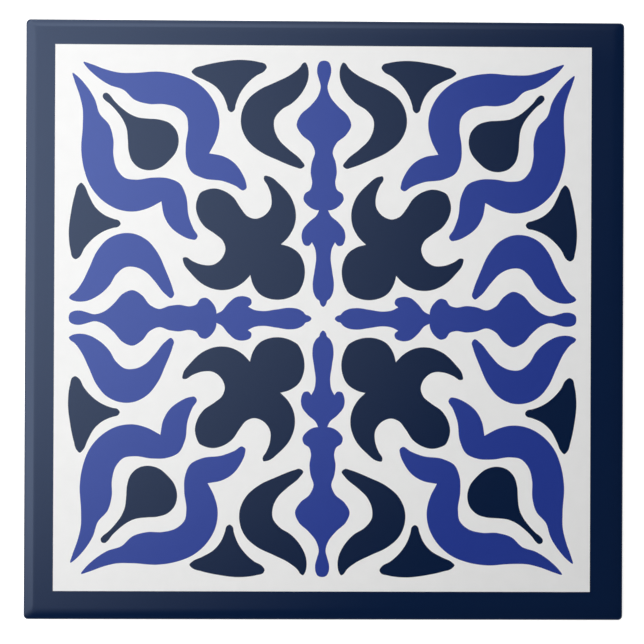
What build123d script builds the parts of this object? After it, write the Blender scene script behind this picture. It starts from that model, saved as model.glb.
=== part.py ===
from build123d import *
import math
import os

# Square ceramic wall tile, pressed and fired as one piece: a flat glazed face with a cushion
# edge all round, plain sides, and a back keyed with shallow pockets that grip the adhesive.
# Millimetres. The tile lies on its back: the origin is the middle of the back, +Z leaves the face.

# Outline and section
FACE_SIZE = 108.0  # side of the square, sold as 4 1/4 inch
THICKNESS = 6.0  # from the ribs of the back to the face
CORNER_RADIUS = 0.8  # corners of the square, seen from the front
BACK_BEVEL = 0.5  # bevel where the sides meet the back

# Cushion edge: the face rolls off gently along each side, then turns down into it
CUSHION_WIDTH = 2.2  # from the side to where the flat face begins
CUSHION_RADIUS = 12.0  # of the roll-off
EDGE_RADIUS = 0.45  # of the turn into the side

# Keyed back: a grid of shallow pockets that leaves flat ribs between them
POCKET_PITCH = 12.0  # from pocket to pocket
RIB_WIDTH = 2.2  # flat rib between two pockets
POCKET_DEPTH = 0.6
POCKET_CORNER_RADIUS = 1.2
POCKET_DRAFT = 30.0  # slope of the pocket walls, in degrees, which lets the die lift off
BACK_MARGIN = 6.0  # least width of the plain strip round the pockets


def half_section():
    """Cross-section from the middle of the tile to one side, with the cushion edge and the bevel."""
    half = FACE_SIZE / 2
    lean = math.degrees(math.asin((CUSHION_WIDTH - EDGE_RADIUS) / (CUSHION_RADIUS - EDGE_RADIUS)))
    face = Line((0, THICKNESS), (half - CUSHION_WIDTH, THICKNESS))
    roll_off = JernArc(face @ 1, face % 1, CUSHION_RADIUS, -lean)
    turn = JernArc(roll_off @ 1, roll_off % 1, EDGE_RADIUS, lean - 90)
    rest = Polyline(turn @ 1, (half, BACK_BEVEL), (half - BACK_BEVEL, 0), (0, 0), face @ 0)
    return Plane.XZ * make_face([face, roll_off, turn, rest])


def cushion_slab():
    """The tile without its keys: four quarters of the same section, whose rims mitre at the corners."""
    half = FACE_SIZE / 2
    side = extrude(half_section(), amount=half, both=True)
    wedge = extrude(Polygon((0, 0), (half, -half), (half, half), align=None), amount=THICKNESS)
    quarter = side & wedge
    slab = quarter + [Rot(0, 0, turn) * quarter for turn in (90, 180, 270)]
    return slab & extrude(RectangleRounded(FACE_SIZE, FACE_SIZE, CORNER_RADIUS), amount=THICKNESS)


def back_keys():
    """Every pocket of the back, as many as fit inside the margin, narrowing as they go in."""
    mouth_side = POCKET_PITCH - RIB_WIDTH
    floor_side = mouth_side - 2 * POCKET_DEPTH * math.tan(math.radians(POCKET_DRAFT))
    count = int((FACE_SIZE - 2 * BACK_MARGIN + RIB_WIDTH) // POCKET_PITCH)
    mouth = RectangleRounded(mouth_side, mouth_side, POCKET_CORNER_RADIUS)
    floor = RectangleRounded(floor_side, floor_side, POCKET_CORNER_RADIUS)
    pocket = loft([mouth, Pos(0, 0, POCKET_DEPTH) * floor], ruled=True)
    return [place * pocket for place in GridLocations(POCKET_PITCH, POCKET_PITCH, count, count)]


ceramic_tile = cushion_slab() - back_keys()

os.makedirs("parts", exist_ok=True)
export_step(ceramic_tile, "parts/ceramic_tile.step")
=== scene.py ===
import math

import bmesh
import bpy
from mathutils import Matrix, Vector
from mathutils.geometry import delaunay_2d_cdt, interpolate_bezier


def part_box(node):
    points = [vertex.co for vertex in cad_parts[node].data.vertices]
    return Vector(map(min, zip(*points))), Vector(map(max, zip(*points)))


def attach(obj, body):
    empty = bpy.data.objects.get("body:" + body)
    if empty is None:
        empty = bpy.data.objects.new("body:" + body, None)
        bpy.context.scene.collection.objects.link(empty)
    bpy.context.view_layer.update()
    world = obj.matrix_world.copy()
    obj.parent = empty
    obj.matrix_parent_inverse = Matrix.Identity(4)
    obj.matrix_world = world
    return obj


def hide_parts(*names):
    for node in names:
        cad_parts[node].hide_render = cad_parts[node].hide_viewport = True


# A printed ceramic wall tile lying on its back, seen from above.
# Lengths are millimetres in this script, and metres in Blender.

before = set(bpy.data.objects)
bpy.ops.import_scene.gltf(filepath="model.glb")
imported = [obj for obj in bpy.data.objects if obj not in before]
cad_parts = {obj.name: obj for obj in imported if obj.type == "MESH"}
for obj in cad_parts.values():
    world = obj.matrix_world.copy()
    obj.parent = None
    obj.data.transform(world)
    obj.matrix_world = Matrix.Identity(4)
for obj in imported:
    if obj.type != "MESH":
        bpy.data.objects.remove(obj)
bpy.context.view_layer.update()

MM = 0.001
TILE_NODE = "ceramic_tile"
tile_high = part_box(TILE_NODE)[1] / MM
HALF_SIDE = tile_high.x
THICKNESS = tile_high.z

# Section of the tile, as in the part
CORNER_RADIUS = 0.8
BACK_BEVEL = 0.5
CUSHION_WIDTH = 2.2
CUSHION_RADIUS = 12.0
EDGE_RADIUS = 0.45

# Glaze: it runs down the sides to a wavering line and stands a little proud of the bare clay
GLAZE_LINE = 3.7  # height above the back
GLAZE_PROUD = 0.1  # how far the bare side lies behind the glazed one
GLAZE_ROLL = 0.35  # height over which the glaze swells out
GLAZE_BEND = 0.3  # where that roll bends, as a share of its depth and of its height
GLAZE_WAVES = ((0.22, 7, 0.4), (0.14, 17, 2.1), (0.08, 41, 4.0))  # height, waves round the tile, phase

# Keyed back, as in the part, with the edges of the clay worn round
POCKET_PITCH = 12.0
RIB_WIDTH = 2.2
POCKET_DEPTH = 0.6
POCKET_CORNER_RADIUS = 1.2
POCKET_DRAFT = math.radians(30)
POCKET_COUNT = 8  # along each side
POCKET_EDGE = 0.14  # rounding of the mouth and of the floor
WORN_LIP = 0.4  # depths of the two bends of the worn mouth, as shares of that rounding
WORN_WALL = 1.6

# Fineness of the mesh
SIDE_STEPS = 72
CORNER_STEPS = 8
ROLL_STEPS = 12
TURN_STEPS = 10
FLAT_SUPPORT = 0.1  # narrow bands that keep flat faces flat up to their edges
PRINT_SPACING = 0.22  # along the outlines of the ornament
FEWEST_STEPS = 2  # from one point of an outline to the next
HANDLE_PARTS = 3  # a handle of a curve reaches a third of the way to the next point
POCKET_SIDE_STEPS = 3
POCKET_CORNER_STEPS = 4
SHARP_ANGLE = math.radians(50)

QUARTER_TURN = math.pi / 2
SQUARE_CORNERS = ((-1, -1), (1, -1), (1, 1), (-1, 1))

# Printed panel: white, with the coloured border left round it
PANEL_WIDTH = 96.72
PANEL_HEIGHT = 98.34
PANEL_SHIFT = Vector((-0.34, 0.3))  # the print sits a little off the middle
ORNAMENT_SHIFT = Vector((-0.33, 0.265))  # and the ornament a little lower than its panel
INK_SPREAD = 0.035  # how far the inks run past the drawn edges

# Finishes of the mesh, in the order of its slots
WHITE, NAVY, COBALT, CLAY = range(4)

# Ornament: one of each motif, drawn in the top left of a square of this side about the middle.
# Each outline is a smooth curve through its points, with a corner at the sharp ones.
ORNAMENT_SIDE = 98.0
SHARP = True

LEAF = [
    (-43.85, 45.8), (-42.5, 45.45), (-40.0, 44.55), (-37.5, 43.95), (-34.5, 43.9), (-30.0, 44.15),
    (-26.5, 43.6), (-23.5, 42.4), (-21.0, 40.2), (-19.4, 37.2), (-19.1, 34.5), (-19.7, 32.0),
    (-20.95, 29.55, SHARP), (-18.25, 29.0), (-16.4, 27.9), (-14.95, 26.05), (-14.15, 24.1),
    (-14.1, 23.4), (-14.6, 23.0), (-16.0, 23.75), (-18.25, 24.6), (-22.0, 25.15), (-24.05, 26.2),
    (-25.05, 28.5), (-25.15, 31.0), (-24.75, 34.3), (-25.05, 36.2), (-26.55, 37.65), (-29.0, 38.35),
    (-32.0, 38.4), (-34.55, 39.15), (-36.55, 40.9), (-39.05, 41.75), (-41.8, 43.55), (-43.25, 44.95),
]
TRIANGLE = [
    (-24.15, 44.2), (-23.65, 44.75), (-22.0, 45.3), (-19.0, 45.95), (-15.0, 46.35), (-12.0, 46.0),
    (-10.75, 45.6), (-10.5, 45.1), (-10.85, 44.5), (-12.45, 43.55), (-14.0, 42.2), (-15.3, 40.45),
    (-16.15, 38.3), (-16.35, 37.4), (-16.9, 37.0), (-17.4, 37.3), (-17.7, 38.25), (-18.5, 40.1),
    (-19.75, 41.55), (-22.0, 42.85), (-23.6, 43.6),
]
CRESCENT = [
    (-3.5, 46.0), (-3.95, 45.75), (-4.35, 45.15), (-6.0, 43.8), (-8.7, 42.45), (-11.95, 40.9),
    (-13.9, 39.2), (-14.95, 37.0), (-15.05, 34.5), (-13.9, 31.95), (-11.5, 29.9), (-8.5, 28.5),
    (-5.0, 27.15), (-4.2, 26.95), (-3.55, 27.4), (-4.2, 28.45), (-6.5, 30.4), (-8.15, 32.0),
    (-9.05, 33.9), (-9.05, 35.8), (-7.8, 37.45), (-5.75, 38.75), (-3.95, 40.75), (-2.95, 43.0),
    (-2.9, 44.7), (-3.15, 45.55),
]
SIDE_CRESCENT_SHIFT = Vector((-0.05, 0.25))  # the cobalt ones stand a little further out
# Halves, which start and end on the line that the motif is mirrored in
DROP_HALF = [
    (-40.15, 40.15), (-39.6, 40.3), (-39.1, 39.95), (-38.35, 39.0), (-37.05, 37.75), (-35.5, 36.6),
    (-34.0, 35.95), (-32.0, 35.7), (-30.0, 35.55), (-28.2, 34.95), (-27.0, 33.75), (-26.5, 31.75),
    (-27.0, 29.8), (-28.25, 28.25),
]
STEM_HALF = [
    (0.0, 46.3), (-0.75, 46.1), (-1.15, 45.4), (-1.25, 44.3), (-0.9, 42.9), (-0.6, 41.75),
    (-1.05, 40.0), (-2.45, 38.2), (-4.35, 36.4), (-4.95, 34.75), (-4.05, 33.05), (-2.3, 31.55),
    (-1.6, 29.9), (-2.15, 28.0), (-2.35, 26.25), (-2.1, 24.2), (-2.45, 23.1), (-3.4, 22.4),
    (-3.65, 21.5), (-2.85, 20.3), (-1.5, 19.55), (-0.8, 19.45, SHARP), (-1.2, 18.6), (-2.7, 17.25),
    (-3.8, 15.8), (-3.9, 14.2), (-3.4, 13.2), (-2.7, 13.1), (-2.1, 13.75, SHARP), (-1.55, 12.7),
    (-1.3, 11.0), (-1.6, 8.5), (-1.9, 6.0), (-1.65, 4.45), (-1.1, 3.55), (-0.7, 3.25), (-0.5, 2.6),
    (0.0, 2.15),
]
FLOWER_HALF = [
    (-22.45, 22.45), (-21.5, 22.95), (-20.0, 23.25), (-18.25, 22.85), (-16.55, 21.75), (-15.1, 19.7),
    (-13.95, 18.35), (-12.5, 17.85), (-10.8, 18.45), (-9.6, 20.0), (-9.55, 22.0), (-10.25, 23.95),
    (-10.9, 25.1), (-10.8, 25.55), (-10.1, 25.5), (-8.0, 24.05), (-6.05, 21.85), (-5.1, 19.0),
    (-5.25, 17.0), (-6.4, 14.7), (-7.8, 13.3, SHARP), (-6.2, 12.85), (-4.5, 11.7), (-3.5, 9.5),
    (-3.5, 7.2), (-4.1, 5.5), (-4.65, 4.65),
]

# Glazes, in the order of their slots: name, linear colour, and the level and tint of the gloss
GLAZES = (
    ("white_glaze", (0.915, 0.915, 0.912), 0.375, (1.0, 1.0, 1.0)),
    ("navy_ink_under_glaze", (0.0043, 0.0143, 0.0505), 0.619, (0.615, 0.748, 1.0)),
    ("cobalt_ink_under_glaze", (0.0236, 0.0487, 0.306), 0.872, (0.549, 0.681, 1.0)),
)
GLAZE_IOR = 1.6
GLAZE_ROUGHNESS = (0.05, 0.08)
BARE_CLAY = (0.66, 0.57, 0.46)
CLAY_SPECK = (0.4, 0.29, 0.19)
CLAY_ROUGHNESS = (0.8, 0.95)

# Noises in the finishes: the size of the features, and the octaves of finer detail
MOTTLING = (3.0, 6)
GLOSS_CHANGE = (6.0, 3)
SLOW_WAVES = (18.0, 1)
ORANGE_PEEL = (1.6, 2)
CLAY_BLOTCHES = (2.0, 10)
CLAY_GLOSS_CHANGE = (0.5, 4)
CLAY_GRAIN = (0.3, 5)
CLAY_SPECKS = (0.7, 1)
CLAY_PITS = (1.1, 1)
NOISE_LOW = 0.3  # most of a noise lies between these two
NOISE_HIGH = 0.7
SPECK_EDGE = 0.66  # and it stands above these only in sparse spots
SPECK_FULL = 0.72

# How strongly the noises show: shades of a colour, and heights of the fine relief
MOTTLING_CONTRAST = 0.012
BLOTCH_CONTRAST = 0.09
WAVE_HEIGHT = 0.006
PEEL_HEIGHT = 0.0006
GRAIN_HEIGHT = 0.05
PIT_HEIGHT = -0.08

# Room in the baked map: each finish has a quarter of it
MAP_NAME = "OFBake"
MAP_SPAN = 122.0  # of the tile across a quarter
MAP_COLUMNS = 2
MAP_MIDDLE = Vector((0.5, 0.5))  # of a quarter

# Camera, straight above but for a slight lean, as the photograph was taken
CAMERA_LENS = 85.0
CAMERA_SENSOR = 36.0
CAMERA_PLACE = Vector((-4.24, -1.13, 279.8))
CAMERA_TURN = tuple(map(math.radians, (0.165, -0.777, 0.243)))

# Light: soft panels in a dark ceiling, which the glaze reflects, and a key lamp beside the lens,
# which it doesn't
CEILING_PLACE = (0.0, 0.0, 360.0)
CEILING_SIDE = 1800.0
OVERHEAD_MIDDLE = Vector((-445.0, 90.0, 0.0))
OVERHEAD_SQUASH = Vector((1.0, 1.6, 1.0))  # this panel is an oval, longer along X
OUTWARD, ALONG_X, ALONG_Y = range(3)  # from the overhead panel's middle, and along the sides of the tile
# Soft edges of each panel: the direction, where the light is out and where it is full
OVERHEAD_PANEL = (
    (OUTWARD, 595.0, 215.0),
)
LEFT_PANEL = (
    (ALONG_X, -900.0, -260.0),
    (ALONG_X, -135.0, -145.0),
    (ALONG_Y, -205.0, -50.0),
    (ALONG_Y, 450.0, 250.0),
)
TOP_PANEL = (
    (ALONG_Y, 100.0, 125.0),
    (ALONG_X, 185.0, -260.0),
    (ALONG_X, -450.0, -300.0),
)
TOP_STRIP = (
    (ALONG_Y, 170.0, 180.0),
    (ALONG_Y, 290.0, 200.0),
    (ALONG_X, 180.0, -115.0),
    (ALONG_X, -450.0, -300.0),
)
PANELS = (  # strength, and soft edges
    (2.15, OVERHEAD_PANEL),
    (2.15, LEFT_PANEL),
    (2.2, TOP_PANEL),
    (2.3, TOP_STRIP),
)
KEY_PLACE = (-23.5, 8.4, 240.0)
KEY_SIDE = 120.0
KEY_STRENGTH = 3.95

# Stage
ROOM_COLOUR = (1.0, 1.0, 1.0)
FLOOR_PLACE = (0.0, 0.0, -0.02)  # a little below the back, so that no faces coincide
FLOOR_SIDE = 6000.0
FLOOR_COLOUR = (0.8, 0.8, 0.8)
FLOOR_LIFT = 0.75  # light of its own, which lifts the floor to white around the shadow


def across_axis(point):
    """A point mirrored in the upright line through the middle."""
    x, y, *corner = point
    return (-x, y, *corner)


def across_diagonal(point):
    """A point mirrored in the diagonal from the top left to the bottom right."""
    x, y, *corner = point
    return (-y, -x, *corner)


def whole(half, mirror):
    """Closed outline from one half, whose two ends lie on the mirror line."""
    return half + [mirror(point) for point in reversed(half[1:-1])]


def is_sharp(point):
    """Whether an outline has a corner at one of its points."""
    _, _, *corner = point
    return SHARP in corner


def handles(before, here, after, with_corner):
    """Handles of a smooth curve through a point, on the side it comes from and the side it goes to."""
    step_in = here - before
    step_out = after - here
    if with_corner:
        return here - step_in / HANDLE_PARTS, here + step_out / HANDLE_PARTS
    length_in = step_in.length
    length_out = step_out.length
    slope = step_in / length_in * length_out + step_out / length_out * length_in
    slope /= length_in + length_out
    return here - slope * length_in / HANDLE_PARTS, here + slope * length_out / HANDLE_PARTS


def smooth_outline(outline):
    """Closely spaced points along the closed smooth curve through the outline."""
    knots = [Vector(point[:2]) for point in outline]
    count = len(knots)
    tangents = [
        handles(knots[i - 1], knots[i], knots[(i + 1) % count], is_sharp(outline[i]))
        for i in range(count)
    ]
    line = []
    for i, knot in enumerate(knots):
        following = (i + 1) % count
        steps = max(FEWEST_STEPS, round((knots[following] - knot).length / PRINT_SPACING))
        run = interpolate_bezier(knot, tangents[i][1], tangents[following][0], knots[following], steps + 1)
        line += run[:-1]
    return line


def counter_clockwise(loop):
    """The loop turned, if need be, to run counter-clockwise."""
    area = sum(loop[i - 1].cross(point) for i, point in enumerate(loop))
    return loop if area > 0 else loop[::-1]


def widened(loop, distance):
    """A counter-clockwise loop moved outward by a small distance."""
    moved = []
    for i, point in enumerate(loop):
        along = (loop[(i + 1) % len(loop)] - loop[i - 1]).normalized()
        moved.append(point + Vector((along.y, -along.x)) * distance)
    return moved


def printed_place(point):
    """Place on the face of a point of the ornament's square."""
    stretch = Vector((PANEL_WIDTH, PANEL_HEIGHT)) / ORNAMENT_SIDE
    return Vector(point) * stretch + ORNAMENT_SHIFT


def ornament():
    """Every printed shape of the ornament, as an outline on the face and its ink."""
    sides = (1, -1)
    upright = [(x, y, False) for x in sides for y in sides]
    turned = [(x, y, True) for x in sides for y in sides]
    arms = [(1, 1, False), (1, -1, False), (1, 1, True), (-1, 1, True)]
    centred = Vector((0, 0))
    motifs = (  # outline, shift of it, copies as the flips and the turn on its side, ink
        (LEAF, centred, upright + turned, COBALT),
        (TRIANGLE, centred, upright + turned, NAVY),
        (CRESCENT, centred, upright, NAVY),
        (CRESCENT, SIDE_CRESCENT_SHIFT, turned, COBALT),
        (whole(STEM_HALF, across_axis), centred, arms, COBALT),
        (whole(DROP_HALF, across_diagonal), centred, upright, NAVY),
        (whole(FLOWER_HALF, across_diagonal), centred, upright, NAVY),
    )
    shapes = []
    for outline, shift, copies, ink in motifs:
        curve = [point + shift for point in smooth_outline(outline)]
        for flip_x, flip_y, on_side in copies:
            flip = Vector((flip_x, flip_y))
            copy = [Vector(across_diagonal(point)) if on_side else point for point in curve]
            loop = [printed_place(point * flip) for point in copy]
            shapes.append((widened(counter_clockwise(loop), INK_SPREAD), ink))
    return shapes


def panel_outline():
    """The white panel behind the ornament, which the ink of the border narrows a little."""
    reach = Vector((PANEL_WIDTH, PANEL_HEIGHT)) / 2 - Vector((INK_SPREAD, INK_SPREAD))
    return [Vector(corner) * reach + PANEL_SHIFT for corner in SQUARE_CORNERS]


def square_ring(half, radius, side_steps=SIDE_STEPS, corner_steps=CORNER_STEPS):
    """Points round a square with rounded corners, counter-clockwise, the same number for every size."""
    reach = half - radius
    ring = []
    for quarter in range(len(SQUARE_CORNERS)):
        turn = Matrix.Rotation(quarter * QUARTER_TURN, 2)
        for step in range(corner_steps + 1):
            angle = step / corner_steps * QUARTER_TURN
            corner = Vector((math.cos(angle), math.sin(angle))) * radius
            ring.append(turn @ (corner + Vector((reach, reach))))
        for step in range(1, side_steps):
            along = reach * (1 - 2 * step / side_steps)
            ring.append(turn @ Vector((along, half)))
    return ring


def rim_section():
    """The cushion edge as inset from the side and height, from the flat face out to the plain side."""
    lean = math.asin((CUSHION_WIDTH - EDGE_RADIUS) / (CUSHION_RADIUS - EDGE_RADIUS))
    roll_middle = Vector((CUSHION_WIDTH, THICKNESS - CUSHION_RADIUS))
    turn_middle = roll_middle + (CUSHION_RADIUS - EDGE_RADIUS) * Vector((-math.sin(lean), math.cos(lean)))
    section = [Vector((CUSHION_WIDTH + FLAT_SUPPORT, THICKNESS))]
    for step in range(ROLL_STEPS):
        angle = lean * step / ROLL_STEPS
        section.append(roll_middle + CUSHION_RADIUS * Vector((-math.sin(angle), math.cos(angle))))
    for step in range(TURN_STEPS + 1):
        angle = lean + (QUARTER_TURN - lean) * step / TURN_STEPS
        section.append(turn_middle + EDGE_RADIUS * Vector((-math.sin(angle), math.cos(angle))))
    return section


def glaze_edge(share):
    """Height of the wavering glaze line at a share of the way round the tile."""
    return GLAZE_LINE + sum(
        height * math.sin(math.tau * waves * share + phase) for height, waves, phase in GLAZE_WAVES
    )


def pocket_section():
    """A pocket of the back as half widths and depths, from the rib round its mouth to its floor."""
    mouth = (POCKET_PITCH - RIB_WIDTH) / 2
    foot = mouth - POCKET_DEPTH * math.tan(POCKET_DRAFT)
    return (
        (mouth + POCKET_EDGE + FLAT_SUPPORT, 0.0),
        (mouth + POCKET_EDGE, 0.0),
        (mouth, POCKET_EDGE * WORN_LIP),
        (mouth - POCKET_EDGE, POCKET_EDGE * WORN_WALL),
        (foot, POCKET_DEPTH - POCKET_EDGE),
        (foot - POCKET_EDGE, POCKET_DEPTH),
        (foot - POCKET_EDGE - FLAT_SUPPORT, POCKET_DEPTH),
    )


def pocket_middles():
    """The middles of the pockets, in a square grid."""
    start = -POCKET_PITCH * (POCKET_COUNT - 1) / 2
    places = [start + POCKET_PITCH * i for i in range(POCKET_COUNT)]
    return [Vector((x, y)) for x in places for y in places]


def fill(loops):
    """Triangles inside the first loop, cut along the others, with the loops that each one lies in."""
    points = []
    faces = []
    for loop in loops:
        faces.append(list(range(len(points), len(points) + len(loop))))
        points += loop
    inside = 1
    nearness = 1e-6
    places, _, triangles, sources, _, owners = delaunay_2d_cdt(points, [], faces, inside, nearness)
    return places, triangles, sources, owners


class TileMesh:
    """The tile's mesh as it is built, with each point's place on the flat map of its finishes."""

    def __init__(self):
        self.mesh = bmesh.new()
        self.glaze_map = {}
        self.clay_map = {}

    def point(self, place, height):
        """A point above a place on the plan."""
        return self.mesh.verts.new((place.x * MM, place.y * MM, height * MM))

    def face(self, corners, finish):
        """A face between points, in one of the finishes."""
        self.mesh.faces.new(corners).material_index = finish

    def ring(self, places, heights, unfolded, flat_map):
        """A closed row of points, and where they lie on one of the flat maps."""
        row = [self.point(place, height) for place, height in zip(places, heights)]
        flat_map.update(zip(row, unfolded))
        return row

    def band(self, inner, outer, finish):
        """Four-sided faces between two rows, which face outward where the first lies above the second."""
        for i, corner in enumerate(inner):
            self.face((inner[i - 1], outer[i - 1], outer[i], corner), finish)

    def rim_and_glazed_side(self):
        """Rows from the flat face to the glaze line. Returns the first and the last of them."""
        section = rim_section()
        flat_reach = HALF_SIDE - section[0].x
        count = len(square_ring(HALF_SIDE, CORNER_RADIUS))
        glaze_line = [glaze_edge(i / count) for i in range(count)]
        rows = [(spot.x, [spot.y] * count) for spot in section]
        rows.append((0.0, [height + GLAZE_ROLL for height in glaze_line]))
        rows.append((GLAZE_PROUD * GLAZE_BEND, [height + GLAZE_ROLL * GLAZE_BEND for height in glaze_line]))
        rows.append((GLAZE_PROUD, glaze_line))
        length = 0.0
        made = []
        for i, (inset, heights) in enumerate(rows):
            if i:
                length += math.hypot(inset - rows[i - 1][0], heights[0] - rows[i - 1][1][0])
            places = square_ring(HALF_SIDE - inset, CORNER_RADIUS)
            unfolded = square_ring(flat_reach + length, CORNER_RADIUS)
            made.append(self.ring(places, heights, unfolded, self.glaze_map))
            if i:
                self.band(made[i - 1], made[i], NAVY)
        return made[0], made[-1]

    def bare_side(self, glaze_row):
        """The bare side below the glaze line, and the bevel to the back. Returns the row on the back."""
        count = len(glaze_row)
        glaze_line = [vertex.co.z / MM for vertex in glaze_row]
        back_reach = HALF_SIDE - BACK_BEVEL
        foot_reach = back_reach + math.hypot(BACK_BEVEL - GLAZE_PROUD, BACK_BEVEL)
        line_reach = foot_reach + GLAZE_LINE - BACK_BEVEL
        self.clay_map.update(zip(glaze_row, square_ring(line_reach, CORNER_RADIUS)))
        rows = (  # inset from the side, heights, and reach on the flat map
            (GLAZE_PROUD, [height - FLAT_SUPPORT for height in glaze_line], line_reach - FLAT_SUPPORT),
            (GLAZE_PROUD, [BACK_BEVEL + FLAT_SUPPORT] * count, foot_reach + FLAT_SUPPORT),
            (GLAZE_PROUD, [BACK_BEVEL] * count, foot_reach),
            (BACK_BEVEL, [0.0] * count, back_reach),
        )
        row = glaze_row
        for inset, heights, reach in rows:
            places = square_ring(HALF_SIDE - inset, CORNER_RADIUS)
            below = self.ring(places, heights, square_ring(reach, CORNER_RADIUS), self.clay_map)
            self.band(row, below, CLAY)
            row = below
        return row

    def printed_face(self, rim_row):
        """The flat face inside the rim, cut along the edges of the print."""
        edge = [vertex.co.xy / MM for vertex in rim_row]
        shapes = ornament()
        places, triangles, sources, owners = fill([edge, panel_outline()] + [loop for loop, _ in shapes])
        points = []
        for place, source in zip(places, sources):
            on_rim = [i for i in source if i < len(rim_row)]
            points.append(rim_row[on_rim[0]] if on_rim else self.point(place, THICKNESS))
            self.glaze_map[points[-1]] = place
        finishes = [NAVY, WHITE] + [ink for _, ink in shapes]
        for triangle, owner in zip(triangles, owners):
            self.face([points[i] for i in triangle], finishes[max(owner)])

    def keyed_back(self, back_row):
        """The back: flat ribs round a grid of shallow pockets with sloping walls."""
        rings = [
            (square_ring(half, POCKET_CORNER_RADIUS, POCKET_SIDE_STEPS, POCKET_CORNER_STEPS), depth)
            for half, depth in pocket_section()
        ]
        mouth, _ = rings[0]
        middles = pocket_middles()
        mouth_rows = self.ribs(back_row, [[place + middle for place in mouth] for middle in middles])
        for middle, row in zip(middles, mouth_rows):
            self.pocket(middle, row, rings[1:])

    def ribs(self, back_row, mouths):
        """The flat of the back, open at the pockets' mouths. Returns the row of points round each mouth."""
        edge = [vertex.co.xy / MM for vertex in back_row]
        places, triangles, sources, owners = fill([edge] + mouths)
        points = []
        by_source = {}
        for place, source in zip(places, sources):
            first = source[0]
            points.append(back_row[first] if first < len(back_row) else self.point(place, 0.0))
            self.clay_map[points[-1]] = place
            by_source[first] = points[-1]
        for triangle, owner in zip(triangles, owners):
            in_a_mouth = max(owner) > 0
            if not in_a_mouth:
                self.face([points[i] for i in reversed(triangle)], CLAY)
        size = len(mouths[0])
        starts = [len(back_row) + number * size for number in range(len(mouths))]
        return [[by_source[start + i] for i in range(size)] for start in starts]

    def pocket(self, middle, row, rings):
        """The walls and the floor of one pocket, from the row round its mouth inward."""
        for ring, depth in rings:
            places = [place + middle for place in ring]
            deeper = self.ring(places, [depth] * len(row), places, self.clay_map)
            self.band(row, deeper, CLAY)
            row = deeper
        self.face(row[::-1], CLAY)

    def lay_map(self):
        """Lays the finishes side by side on the map that they are baked to."""
        layer = self.mesh.loops.layers.uv.new(MAP_NAME)
        for face in self.mesh.faces:
            flat_map = self.clay_map if face.material_index == CLAY else self.glaze_map
            row, column = divmod(face.material_index, MAP_COLUMNS)
            quarter = Vector((column, row))
            for corner in face.loops:
                place = flat_map[corner.vert] / MAP_SPAN + MAP_MIDDLE
                corner[layer].uv = (place + quarter) / MAP_COLUMNS

    def part_finishes(self):
        """Parts the mesh in place between its finishes, so that they don't run together in the map."""
        edges = [
            edge for edge in self.mesh.edges if len({face.material_index for face in edge.link_faces}) > 1
        ]
        bmesh.ops.split_edges(self.mesh, edges=edges)


def printed_tile():
    """The whole tile as one piece, in place of the plain solid."""
    tile = TileMesh()
    face_row, glaze_row = tile.rim_and_glazed_side()
    back_row = tile.bare_side(glaze_row)
    tile.printed_face(face_row)
    tile.keyed_back(back_row)
    tile.lay_map()
    tile.part_finishes()
    data = bpy.data.meshes.new("printed_tile")
    tile.mesh.to_mesh(data)
    tile.mesh.free()
    data.shade_smooth()
    data.set_sharp_from_angle(angle=SHARP_ANGLE)
    for finish in GLAZES:
        data.materials.append(glaze(*finish))
    data.materials.append(bare_clay())
    piece = bpy.data.objects.new("printed_tile", data)
    bpy.context.scene.collection.objects.link(piece)
    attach(piece, "root")
    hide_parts(TILE_NODE)
    return piece


def opaque(colour):
    """A colour as Blender's sockets take it."""
    return (*colour, 1.0)


def new_material(name):
    """A new material, its nodes and its surface shader."""
    material = bpy.data.materials.new(name)
    material.use_nodes = True
    tree = material.node_tree
    return material, tree, tree.nodes["Principled BSDF"]


def noise(tree, size, detail):
    """Noise with features of the given size."""
    place = tree.nodes.new("ShaderNodeTexCoord")
    pattern = tree.nodes.new("ShaderNodeTexNoise")
    pattern.inputs["Scale"].default_value = 1 / (size * MM)
    pattern.inputs["Detail"].default_value = detail
    tree.links.new(place.outputs["Object"], pattern.inputs["Vector"])
    return pattern.outputs["Fac"]


def stretched(tree, value, low, high):
    """The middle of a noise's range stretched over low to high."""
    stretch = tree.nodes.new("ShaderNodeMapRange")
    stretch.inputs["From Min"].default_value = NOISE_LOW
    stretch.inputs["From Max"].default_value = NOISE_HIGH
    stretch.inputs["To Min"].default_value = low
    stretch.inputs["To Max"].default_value = high
    tree.links.new(value, stretch.inputs["Value"])
    return stretch.outputs["Result"]


def specks(tree, value):
    """Where a noise stands highest: sparse spots, from 0 around them to 1 within."""
    spots = tree.nodes.new("ShaderNodeMapRange")
    spots.inputs["From Min"].default_value = SPECK_EDGE
    spots.inputs["From Max"].default_value = SPECK_FULL
    tree.links.new(value, spots.inputs["Value"])
    return spots.outputs["Result"]


def shades(tree, value, colour, contrast):
    """A colour that runs a little darker and lighter with a noise."""
    ramp = tree.nodes.new("ShaderNodeValToRGB")
    darker, lighter = ramp.color_ramp.elements
    darker.position = NOISE_LOW
    lighter.position = NOISE_HIGH
    darker.color = opaque(part * (1 - contrast) for part in colour)
    lighter.color = opaque(part * (1 + contrast) for part in colour)
    tree.links.new(value, ramp.inputs["Fac"])
    return ramp.outputs["Color"]


def bump(tree, value, height, under=None):
    """Relief of the given height, on top of a coarser one if there is one."""
    relief = tree.nodes.new("ShaderNodeBump")
    relief.inputs["Distance"].default_value = height * MM
    tree.links.new(value, relief.inputs["Height"])
    if under:
        tree.links.new(under, relief.inputs["Normal"])
    return relief.outputs["Normal"]


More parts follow.
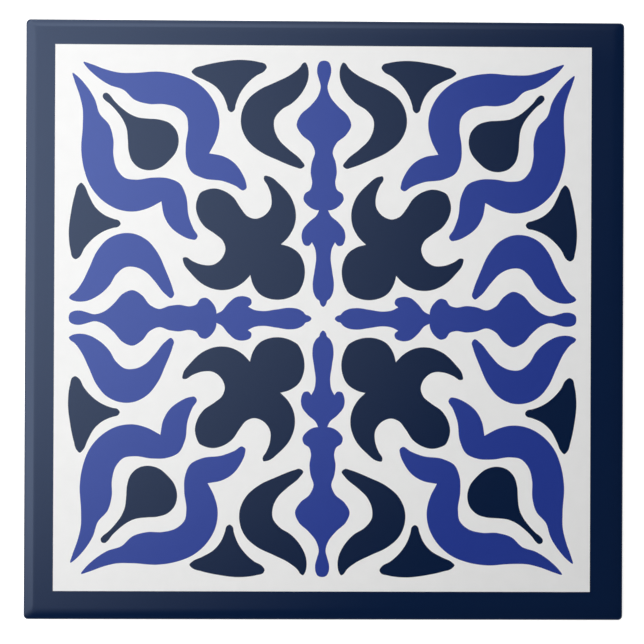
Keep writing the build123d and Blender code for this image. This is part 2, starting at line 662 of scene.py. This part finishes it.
def glaze(name, colour, gloss, gloss_tint):
    """Glossy glaze over white or ink: faint mottling, slow waves and fine orange peel."""
    material, tree, shader = new_material(name)
    mottled = shades(tree, noise(tree, *MOTTLING), colour, MOTTLING_CONTRAST)
    roughness = stretched(tree, noise(tree, *GLOSS_CHANGE), *GLAZE_ROUGHNESS)
    waves = bump(tree, noise(tree, *SLOW_WAVES), WAVE_HEIGHT)
    peel = bump(tree, noise(tree, *ORANGE_PEEL), PEEL_HEIGHT, waves)
    tree.links.new(mottled, shader.inputs["Base Color"])
    tree.links.new(roughness, shader.inputs["Roughness"])
    tree.links.new(peel, shader.inputs["Normal"])
    shader.inputs["IOR"].default_value = GLAZE_IOR
    shader.inputs["Specular IOR Level"].default_value = gloss
    shader.inputs["Specular Tint"].default_value = opaque(gloss_tint)
    return material


def bare_clay():
    """Unglazed fired clay: matt, grainy, a little blotched, with sparse dark specks and small pits."""
    material, tree, shader = new_material("bare_clay")
    speckled = tree.nodes.new("ShaderNodeMixRGB")
    speckled.inputs["Color2"].default_value = opaque(CLAY_SPECK)
    blotched = shades(tree, noise(tree, *CLAY_BLOTCHES), BARE_CLAY, BLOTCH_CONTRAST)
    roughness = stretched(tree, noise(tree, *CLAY_GLOSS_CHANGE), *CLAY_ROUGHNESS)
    pits = bump(tree, specks(tree, noise(tree, *CLAY_PITS)), PIT_HEIGHT)
    grain = bump(tree, noise(tree, *CLAY_GRAIN), GRAIN_HEIGHT, pits)
    tree.links.new(specks(tree, noise(tree, *CLAY_SPECKS)), speckled.inputs["Fac"])
    tree.links.new(blotched, speckled.inputs["Color1"])
    tree.links.new(speckled.outputs["Color"], shader.inputs["Base Color"])
    tree.links.new(roughness, shader.inputs["Roughness"])
    tree.links.new(grain, shader.inputs["Normal"])
    return material


def level_square(name, place, side):
    """A level square of the stage."""
    reach = side / 2 * MM
    corners = [(reach * x, reach * y, 0.0) for x, y in SQUARE_CORNERS]
    data = bpy.data.meshes.new(name)
    data.from_pydata(corners, [], [tuple(range(len(corners)))])
    square = bpy.data.objects.new(name, data)
    square.location = Vector(place) * MM
    bpy.context.scene.collection.objects.link(square)
    return square


def emitter(name):
    """A material that only gives light, its nodes and its light."""
    material = bpy.data.materials.new(name)
    material.use_nodes = True
    tree = material.node_tree
    tree.nodes.clear()
    light = tree.nodes.new("ShaderNodeEmission")
    output = tree.nodes.new("ShaderNodeOutputMaterial")
    tree.links.new(light.outputs["Emission"], output.inputs["Surface"])
    return material, tree, light


def light_panel(name, place, side):
    """A square of light above the tile, which the camera doesn't see, with its nodes and its light."""
    panel = level_square(name, place, side)
    panel.visible_camera = False
    material, tree, light = emitter(name)
    panel.data.materials.append(material)
    return panel, tree, light


def joined(tree, operation, values):
    """One number from several, by a sum, a product or the like."""
    total = values[0]
    for value in values[1:]:
        step = tree.nodes.new("ShaderNodeMath")
        step.operation = operation
        tree.links.new(total, step.inputs[0])
        tree.links.new(value, step.inputs[1])
        total = step.outputs["Value"]
    return total


def ceiling_directions(tree):
    """For a place on the ceiling, its distance from the overhead panel's middle, its X and its Y."""
    place = tree.nodes.new("ShaderNodeTexCoord")
    squashed = tree.nodes.new("ShaderNodeVectorMath")
    squashed.operation = "MULTIPLY"
    squashed.inputs[1].default_value = OVERHEAD_SQUASH
    away = tree.nodes.new("ShaderNodeVectorMath")
    away.operation = "DISTANCE"
    away.inputs[1].default_value = OVERHEAD_MIDDLE * OVERHEAD_SQUASH * MM
    split = tree.nodes.new("ShaderNodeSeparateXYZ")
    tree.links.new(place.outputs["Object"], squashed.inputs[0])
    tree.links.new(squashed.outputs["Vector"], away.inputs[0])
    tree.links.new(place.outputs["Object"], split.inputs["Vector"])
    return {OUTWARD: away.outputs["Value"], ALONG_X: split.outputs["X"], ALONG_Y: split.outputs["Y"]}


def soft_edge(tree, distance, dark, full):
    """Light that fades in smoothly from one distance to another."""
    fade = tree.nodes.new("ShaderNodeMapRange")
    fade.interpolation_type = "SMOOTHSTEP"
    fade.inputs["From Min"].default_value = dark * MM
    fade.inputs["From Max"].default_value = full * MM
    tree.links.new(distance, fade.inputs["Value"])
    return fade


def ceiling():
    """The dark ceiling with its soft panels, of which the brightest shows where they overlap."""
    _, tree, light = light_panel("ceiling", CEILING_PLACE, CEILING_SIDE)
    directions = ceiling_directions(tree)
    panels = []
    for strength, edges in PANELS:
        fades = [soft_edge(tree, directions[direction], dark, full) for direction, dark, full in edges]
        fades[0].inputs["To Max"].default_value = strength  # the other edges only dim it
        panels.append(joined(tree, "MULTIPLY", [fade.outputs["Result"] for fade in fades]))
    tree.links.new(joined(tree, "MAXIMUM", panels), light.inputs["Strength"])


def key_lamp():
    """A lamp beside the lens, which the glaze doesn't mirror and the panels shine through."""
    panel, _, light = light_panel("key_lamp", KEY_PLACE, KEY_SIDE)
    panel.visible_glossy = False
    panel.visible_shadow = False
    light.inputs["Strength"].default_value = KEY_STRENGTH


def surroundings():
    """A plain white room, which shows below the ceiling."""
    world = bpy.data.worlds.new("surroundings")
    world.use_nodes = True
    world.node_tree.nodes["Background"].inputs["Color"].default_value = opaque(ROOM_COLOUR)
    bpy.context.scene.world = world


def floor():
    """A pale floor, white to the camera and in reflections, with a faint shadow of the tile."""
    square = level_square("floor", FLOOR_PLACE, FLOOR_SIDE)
    material, tree, shine = emitter("pale_floor")
    output = tree.nodes["Material Output"]
    shaded = tree.nodes.new("ShaderNodeBsdfDiffuse")
    shaded.inputs["Color"].default_value = opaque(FLOOR_COLOUR)
    path = tree.nodes.new("ShaderNodeLightPath")
    rays = ("Is Camera Ray", "Is Glossy Ray", "Is Transmission Ray")
    seen = joined(tree, "MAXIMUM", [path.outputs[ray] for ray in rays])
    lift = tree.nodes.new("ShaderNodeMath")
    lift.operation = "MULTIPLY"
    lift.inputs[1].default_value = FLOOR_LIFT
    tree.links.new(seen, lift.inputs[0])
    tree.links.new(lift.outputs["Value"], shine.inputs["Strength"])
    both = tree.nodes.new("ShaderNodeAddShader")
    tree.links.new(shaded.outputs["BSDF"], both.inputs[0])
    tree.links.new(shine.outputs["Emission"], both.inputs[1])
    tree.links.new(both.outputs["Shader"], output.inputs["Surface"])
    square.data.materials.append(material)


def camera():
    """The camera above the tile."""
    data = bpy.data.cameras.new("camera")
    data.lens = CAMERA_LENS
    data.sensor_width = CAMERA_SENSOR
    viewer = bpy.data.objects.new("camera", data)
    viewer.location = CAMERA_PLACE * MM
    viewer.rotation_euler = CAMERA_TURN
    bpy.context.scene.collection.objects.link(viewer)
    bpy.context.scene.camera = viewer


bpy.context.scene.view_settings.view_transform = "Standard"
printed_tile()
camera()
surroundings()
ceiling()
key_lamp()
floor()
